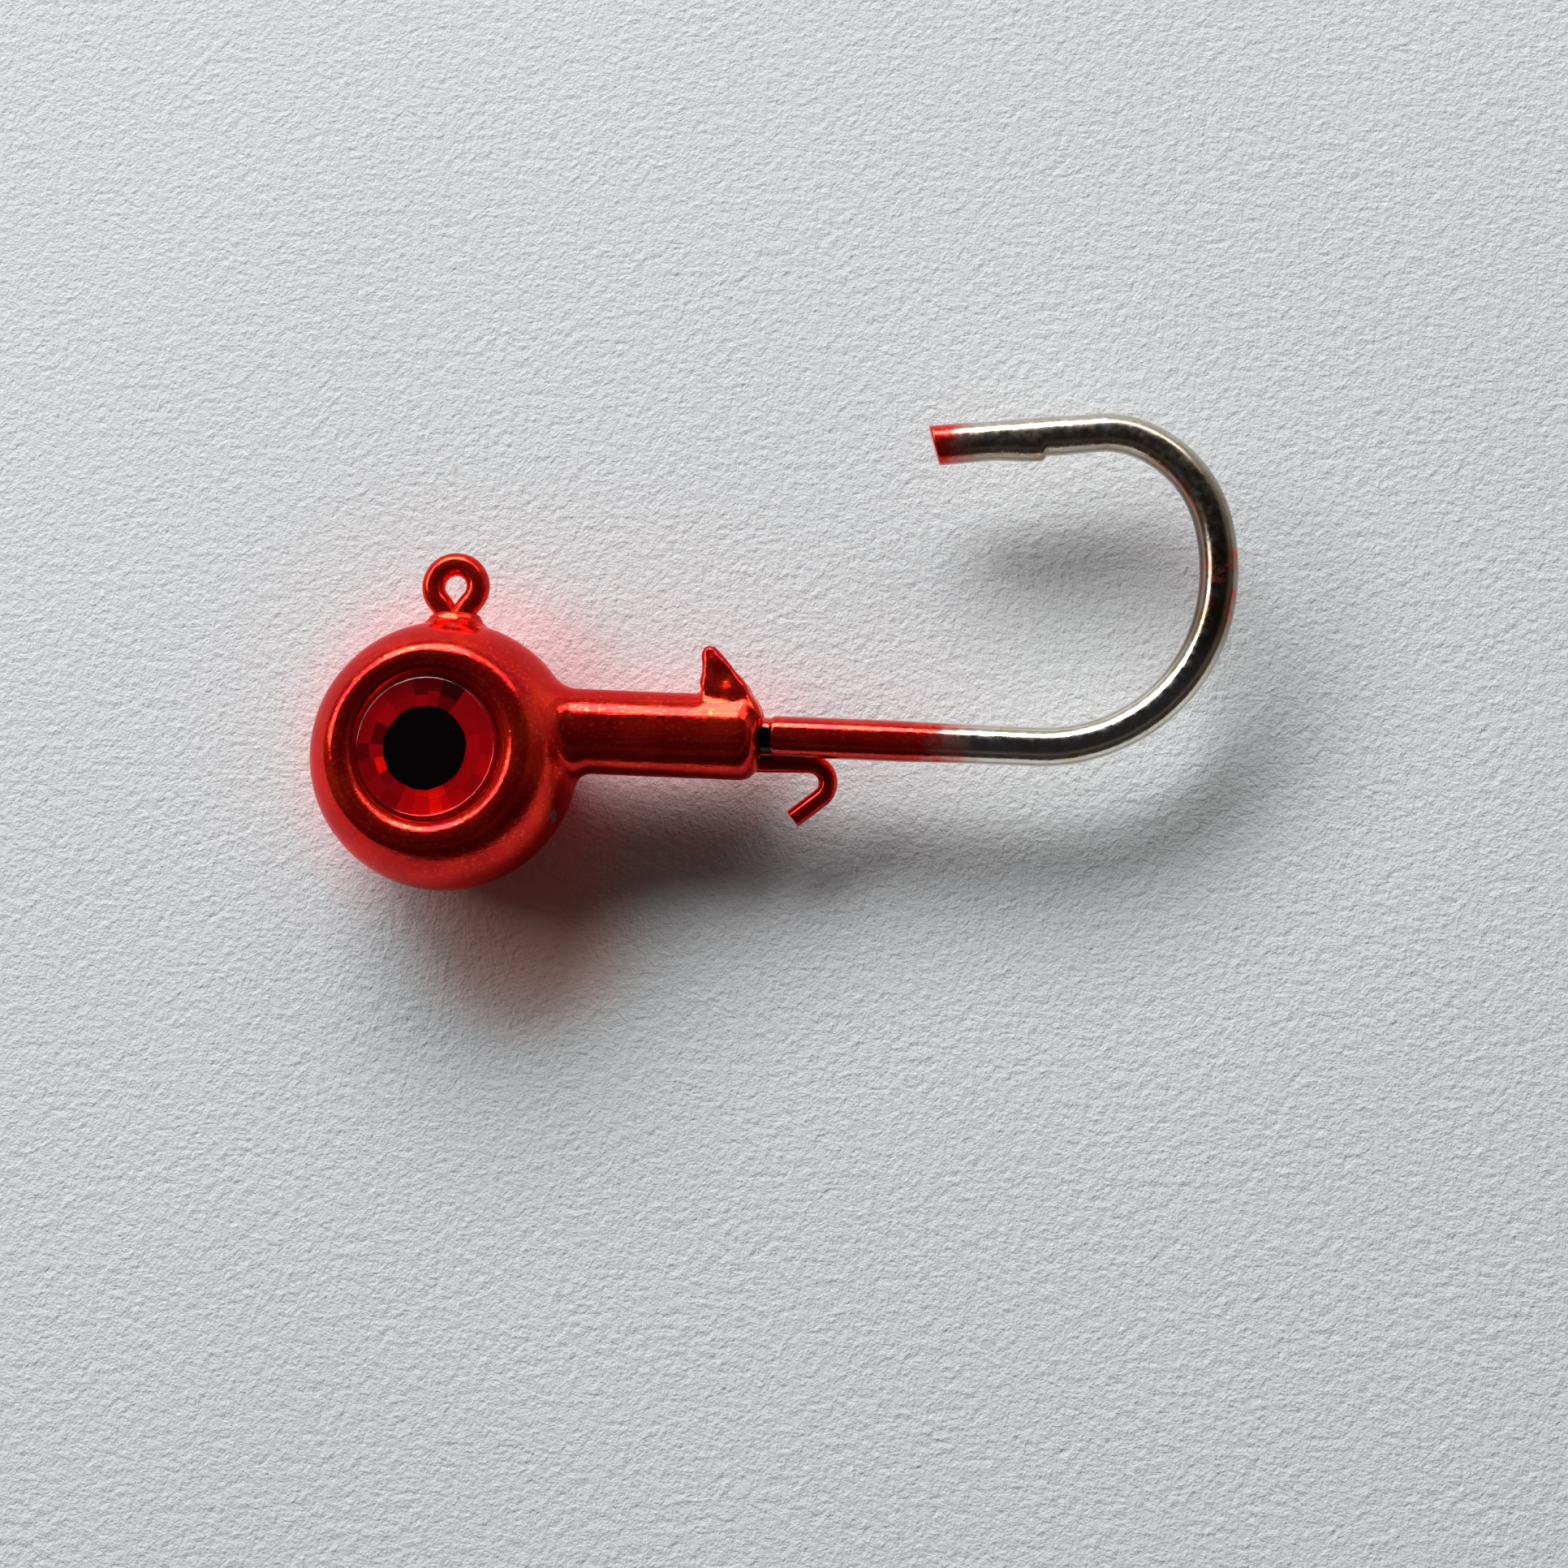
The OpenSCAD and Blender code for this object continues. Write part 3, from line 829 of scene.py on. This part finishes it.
def build_hook():
    path, heading = hook_centreline(HOOK_STEP)
    step = np.linalg.norm(np.diff(path, axis=0), axis=1)
    along = np.concatenate([[0], np.cumsum(step)])
    from_tip = along[-1] - along
    angle = np.linspace(0, 2 * math.pi, HOOK_SIDES, endpoint=False)
    radii = hook_radii(path, along, from_tip)
    points, faces = sweep(path, radii, HOOK_SIDES, (0, 0, 1), pressed_barb(from_tip, angle))
    # The cut across the tip slants: its outer corner is the longest
    rings = points.reshape(len(path), HOOK_SIDES, 3)
    way = np.array([math.cos(heading), math.sin(heading), 0])
    inward = np.array([-math.sin(heading), math.cos(heading), 0])
    cut = smooth(TIP_CUT, 0.0, from_tip)[:, None]
    lean = ((rings - path[:, None]) @ inward) * math.tan(TIP_SLANT) * cut
    rings = rings - lean[:, :, None] * way
    make_mesh("jig_hook_plated", rings.reshape(-1, 3), faces, PLATING, ["jig_hook"])


def build_hook_eye():
    """The closed eye that anchors the hook inside the lead."""
    turn = np.linspace(HOOK_EYE_GAP, 2 * math.pi - HOOK_EYE_GAP, 80)
    y = SHANK_Y + TIE[0] * math.tan(SHANK_SLOPE)
    path = np.stack([TIE[0] + HOOK_EYE_R * np.cos(turn), y + 0 * turn, HOOK_EYE_R * np.sin(turn)],
                    axis=1)
    path, radii = rounded_ends(path, np.full(len(path), HOOK_EYE_WIRE), 0.1)
    points, faces = sweep(path, radii, 32, (0, 1, 0))
    make_mesh("jig_hook_anchor_eye", points, faces, PLATING, [])


# ------------------------------------------------------------------ the wire form

def tilted(points):
    """Turns points of the wire form about the leg's axis, so that its run slants down."""
    out = np.array(points, float)
    dx = out[:, 0] - TIE[0]
    out[:, 0] = TIE[0] + dx * math.cos(RUN_TILT)
    out[:, 2] = -dx * math.sin(RUN_TILT)
    return out


def relax(path, rounds):
    """Eases the corners of a path, keeping its ends."""
    for _ in range(rounds):
        path[1:-1] = 0.5 * path[1:-1] + 0.25 * (path[:-2] + path[2:])
    return path


def build_ring():
    """The line tie. It closes to a drop shape, where its two strands meet in the neck."""
    ring = arc(TIE[:2], RING_R, -0.5 * math.pi + RING_OPEN, 1.5 * math.pi - RING_OPEN, 90)
    down = np.linspace(0, 1, 14)[1:, None]
    right_foot = np.array([TIE[0], 0, 0]) + RIGHT_FOOT
    left_foot = np.array([TIE[0], 0, 0]) + LEFT_FOOT
    ring = np.concatenate([(ring[0] + (right_foot - ring[0]) * down)[::-1], ring,
                           ring[-1] + (left_foot - ring[-1]) * down])
    ring = relax(ring, 6)
    path, radii = rounded_ends(ring, np.full(len(ring), RING_WIRE), 0.06)
    points, faces = sweep(path, radii, 40, (0, 0, 1))
    make_mesh("line_tie_ring", points, faces, WIRE_LACQUER, ["tie_and_keeper_wire"])


def build_keeper_wire():
    """The leg and run inside the head, and the keeper that shows below the shank."""
    leg_top = TIE[1] - RING_R - 0.45
    leg_bottom = RUN_Y + FORM_BEND
    leg = np.array([[TIE[0], y, 0] for y in np.linspace(leg_top, leg_bottom, 40)])
    bend = arc((TIE[0] + FORM_BEND, leg_bottom), FORM_BEND, math.pi, 1.5 * math.pi, 24)
    run = np.array([[x, RUN_Y, 0] for x in np.linspace(TIE[0] + FORM_BEND, KEEPER_X, 140)[1:]])
    turn = arc((KEEPER_X, RUN_Y - KEEPER_R), KEEPER_R, 0.5 * math.pi, 0.5 * math.pi - KEEPER_TURN, 40)
    last = turn[-1] - turn[-2]
    last /= np.linalg.norm(last)
    free = np.array([turn[-1] + last * s for s in np.linspace(0, KEEPER_LEG, 20)[1:]])
    path = tilted(np.concatenate([leg, bend[1:], run, turn[1:], free]))
    path, radii = rounded_ends(path, np.full(len(path), FORM_WIRE), 0.05, start=False)
    points, faces = sweep(path, radii, 32, (0, 0, 1))
    make_mesh("keeper_wire", points, faces, WIRE_LACQUER, [])


# ------------------------------------------------------------------ the eyes

def facing(points, side):
    """Turns an eye's layer over for the far side, as the CAD does."""
    return np.asarray(points) * (1, side, side)


def disc(radii, sectors, top, bottom):
    """A closed round layer with its top and bottom heights given by radius and angle."""
    angle = np.linspace(0, 2 * math.pi, sectors, endpoint=False)
    points = []
    for height in (top, bottom):
        points.append((0, 0, float(height(0.0, 0.0))))
        for r in radii:
            for a in angle:
                points.append((r * math.cos(a), r * math.sin(a), float(height(r, a))))
    each = 1 + len(radii) * sectors
    faces = []
    for layer, turn in ((0, 1), (1, -1)):
        base = layer * each
        for j in range(sectors):
            k = (j + 1) % sectors
            faces.append((base, base + 1 + j, base + 1 + k)[::turn])
            for i in range(len(radii) - 1):
                a = base + 1 + i * sectors
                b = a + sectors
                faces.append((a + j, b + j, b + k, a + k)[::turn])
    rim = 1 + (len(radii) - 1) * sectors
    for j in range(sectors):
        k = (j + 1) % sectors
        faces.append((rim + j, each + rim + j, each + rim + k, rim + k))
    return np.array(points), faces


def build_pad(side, name, eye_at):
    """Adhesive: a squeezed blob."""
    points, faces = disc([k * PAD_R for k in (0.5, 0.85, 0.97, 1)], 60,
                         lambda r, a: FOIL_BASE - 0.004 - 0.02 * (r >= PAD_R),
                         lambda r, a: EYE_FLOOR + 0.003)
    wobble = 1 + 0.012 * np.sin(3 * np.arctan2(points[:, 1], points[:, 0]) + side)
    points[:, :2] *= np.minimum(wobble, 1)[:, None]
    points[:, :2] += eye_at
    make_mesh(f"{name}_eye_adhesive_pad", facing(points, side), faces, ADHESIVE,
              [f"{name}_eye_adhesive"])


def build_facets(side):
    """Flat facets of the foil, inside and outside a middle circle, and the painted reflection
    brightness of each.
    """
    points = []
    faces = []
    shades = []
    start = 0.0
    draw = np.random.default_rng(5 if side > 0 else 8)
    turn = 0 if side > 0 else FAR_FOIL_TURN
    for end, inner, outer, lean_in, lean_out in FACETS:
        a0 = math.radians(90 - start - turn)
        a1 = math.radians(90 - end - turn)
        angle = np.linspace(a0, a1, max(2, int((end - start) / 4)))
        middle = draw.uniform(0.72, 0.82) * EYE_SHOWN
        halves = ((FOIL_CORE, middle, inner, lean_in), (middle, EYE_SHOWN, outer, lean_out))
        for r0, r1, shade, lean in halves:
            slope = draw.normal(0, 0.01, 2) - (0, lean)
            outline = [(r0 * math.cos(t), r0 * math.sin(t)) for t in angle]
            outline += [(r1 * math.cos(t), r1 * math.sin(t)) for t in angle[::-1]]
            outline = np.array(outline)
            lift = (outline - outline.mean(0)) @ slope
            most = FACET_RISE if lean < STEEP else FACET_RISE_STEEP
            lift *= min(1.0, most / np.abs(lift).max())
            base = len(points)
            points += [(x, y, FACET_Z + up) for (x, y), up in zip(outline, lift)]
            faces.append(tuple(range(base + len(outline) - 1, base - 1, -1)))
            shades.append(shade)
        start = end
    return points, faces, shades


def build_foil(side, name, eye_at):
    """The foil's facets on a closed body, with each face's painted reflection brightness as an
    attribute.
    """
    points, faces, shades = build_facets(side)
    body, body_faces = disc([0.2 * EYE_SHOWN, FOIL_CORE, 0.9 * EYE_SHOWN, EYE_SHOWN], 96,
                            lambda r, a: FOIL_TOP - 0.126 + 0.12 * (r < FOIL_CORE),
                            lambda r, a: FOIL_BASE)
    base = len(points)
    faces += [tuple(base + i for i in f) for f in body_faces]
    shades += [0.2] * len(body_faces)
    points = np.concatenate([np.array(points), body])
    points[:, :2] += eye_at
    piece = make_mesh(f"{name}_eye_prismatic_foil", facing(points, side), faces, FOIL,
                      [f"{name}_eye_foil"], flat=True)
    layer = piece.data.attributes.new("shade", "FLOAT", "FACE")
    layer.data.foreach_set("value", shades[:len(piece.data.polygons)])


def build_pupil(side, name, eye_at):
    """Printed ink with a slightly ragged edge."""
    points, faces = disc([PUPIL_R * k for k in (0.4, 0.8, 0.97, 1.0)], 96,
                         lambda r, a: FOIL_TOP + 0.045 - 0.02 * (r >= PUPIL_R),
                         lambda r, a: FOIL_TOP + 0.004)
    angle = np.arctan2(points[:, 1], points[:, 0])
    ragged = 1 + 0.008 * np.sin(7 * angle) + 0.005 * np.sin(17 * angle + 1)
    off_centre = (-0.02, -0.06) if side > 0 else (0.05, 0.04)
    points[:, :2] = points[:, :2] * ragged[:, None] + (eye_at + off_centre)
    make_mesh(f"{name}_eye_pupil_ink", facing(points, side), faces, INK,
              [f"{name}_eye_pupil"])


def cover_height(r, a):
    """A shallow dome with a rounded rim."""
    fall = COVER_CROWN * (r / EYE_SHOWN) ** 2
    over = min(1.0, max(0.0, (r - (EYE_SHOWN - COVER_RIM)) / COVER_RIM))
    return COVER_TOP - fall - COVER_RIM * (1 - math.sqrt(max(0.0, 1 - over * over)))


def build_cover(side, name, eye_at):
    radii = list(np.linspace(0.3, EYE_SHOWN - COVER_RIM, 14))
    rim_turn = np.linspace(0.2, 1, 7) * math.pi / 2
    radii += [EYE_SHOWN - COVER_RIM * (1 - math.sin(t)) for t in rim_turn]
    points, faces = disc(radii, 120, cover_height, lambda r, a: FOIL_TOP + 0.055)
    points[:, :2] += eye_at
    make_mesh(f"{name}_eye_cover_clear", facing(points, side), faces, CLEAR,
              [f"{name}_eye_cover"])


def build_eye(side, name):
    eye_at = EYE_AT if side > 0 else -EYE_AT
    build_pad(side, name, eye_at)
    build_foil(side, name, eye_at)
    build_pupil(side, name, eye_at)
    build_cover(side, name, eye_at)


# ------------------------------------------------------------------ paper, light and camera

# In metres, but for the camera's two points, which are in millimetres about the ball's centre
JIG_MIDDLE = 0.0125
PAPER_HALF = 0.16
PAPER_DROP = 0.00002             # below the jig's lowest point
WINDOW_FAR = 0.60
WINDOW_AIM = 0.003               # height above the paper
LENS = 47.07
CAMERA_AT = (19.5175, -9.561, 73.0)
CAMERA_TO = (12.4802, -0.9552, 0)
CAMERA_ROLL = 0.01869


def build_floor():
    left = JIG_MIDDLE - PAPER_HALF
    right = JIG_MIDDLE + PAPER_HALF
    corners = [(left, -PAPER_HALF, 0), (right, -PAPER_HALF, 0), (right, PAPER_HALF, 0),
               (left, PAPER_HALF, 0)]
    mesh = bpy.data.meshes.new("paper_sheet")
    mesh.from_pydata(corners, [], [(0, 1, 2, 3)])
    mesh.materials.append(paper())
    sheet = bpy.data.objects.new("paper_sheet", mesh)
    bpy.context.scene.collection.objects.link(sheet)
    sheet.location = (0, 0, -PAPER_DROP)


def aim(thing, place, target, roll=0.0):
    """Puts a camera or lamp at a place, facing a target, and rolls it about its view."""
    back = (Vector(place) - Vector(target)).normalized()
    guide = Vector((0, 1, 0)) if abs(back.z) > 0.5 else Vector((0, 0, 1))
    right = guide.cross(back).normalized()
    up = back.cross(right)
    turned_right = right * math.cos(roll) + up * math.sin(roll)
    turned_up = up * math.cos(roll) - right * math.sin(roll)
    turn = Matrix((turned_right, turned_up, back)).transposed()
    thing.matrix_world = Matrix.Translation(place) @ turn.to_4x4()


def window(name, azimuth, elevation, width, height, power, colour):
    """A window pane, as an area light in a ring of windows round the jig."""
    data = bpy.data.lights.new(name, "AREA")
    data.shape = "RECTANGLE"
    data.size = width
    data.size_y = height
    data.energy = power
    data.color = colour
    lamp = bpy.data.objects.new(name, data)
    bpy.context.scene.collection.objects.link(lamp)
    a, e = math.radians(azimuth), math.radians(elevation)
    way = Vector((math.cos(e) * math.cos(a), math.cos(e) * math.sin(a), math.sin(e)))
    place = way * WINDOW_FAR + Vector((JIG_MIDDLE, 0, 0))
    aim(lamp, place, (JIG_MIDDLE, 0, WINDOW_AIM))


def build_world():
    world = bpy.data.worlds.new("soft_room")
    bpy.context.scene.world = world
    world.use_nodes = True
    tree = world.node_tree
    tree.nodes.clear()
    way = add(tree, "ShaderNodeTexCoord").outputs["Generated"]
    y, z = split(tree, way)[1:]
    # Dim warm walls, a dark ceiling, and a lit wall round the window
    room = blend(tree, span(tree, z, 0.45, 0.80), (0.13, 0.11, 0.095, 1), (0.016, 0.015, 0.017, 1))
    beside = maths(tree, "MULTIPLY", span(tree, y, 0.05, 0.6), span(tree, z, 0.62, 0.30))
    room = blend(tree, beside, room, (0.40, 0.40, 0.40, 1))
    away = maths(tree, "MULTIPLY", span(tree, y, 0.0, -0.5), span(tree, z, 0.7, 0.4))
    room = blend(tree, away, room, (0.03, 0.025, 0.025, 1))
    seen = add(tree, "ShaderNodeLightPath").outputs["Is Camera Ray"]
    room = blend(tree, seen, room, (0.60, 0.63, 0.64, 1))
    sky = add(tree, "ShaderNodeBackground", {"Color": room, "Strength": 1.0})
    add(tree, "ShaderNodeOutputWorld", {"Surface": sky.outputs[0]})


def build_camera():
    data = bpy.data.cameras.new("camera")
    data.lens = LENS
    data.sensor_width = 36
    data.clip_start = 0.001
    camera = bpy.data.objects.new("camera", data)
    bpy.context.scene.collection.objects.link(camera)
    aim(camera, placed(CAMERA_AT), placed(CAMERA_TO), CAMERA_ROLL)
    bpy.context.scene.camera = camera


# ------------------------------------------------------------------ the scene

build_head()
build_hook()
build_hook_eye()
build_keeper_wire()
build_ring()
build_eye(1, "near")
build_eye(-1, "far")

build_floor()
build_world()
window("window_left", 149, 29, 0.42, 0.18, 1.35, (0.95, 0.98, 1.0))
window("window_middle", 109, 30, 0.40, 0.24, 3.7, (0.98, 0.99, 1.0))
window("window_right", 71, 29, 0.36, 0.14, 0.50, (1.0, 0.98, 0.96))
build_camera()
bpy.context.scene.view_settings.view_transform = "Standard"

bpy.context.view_layer.update()
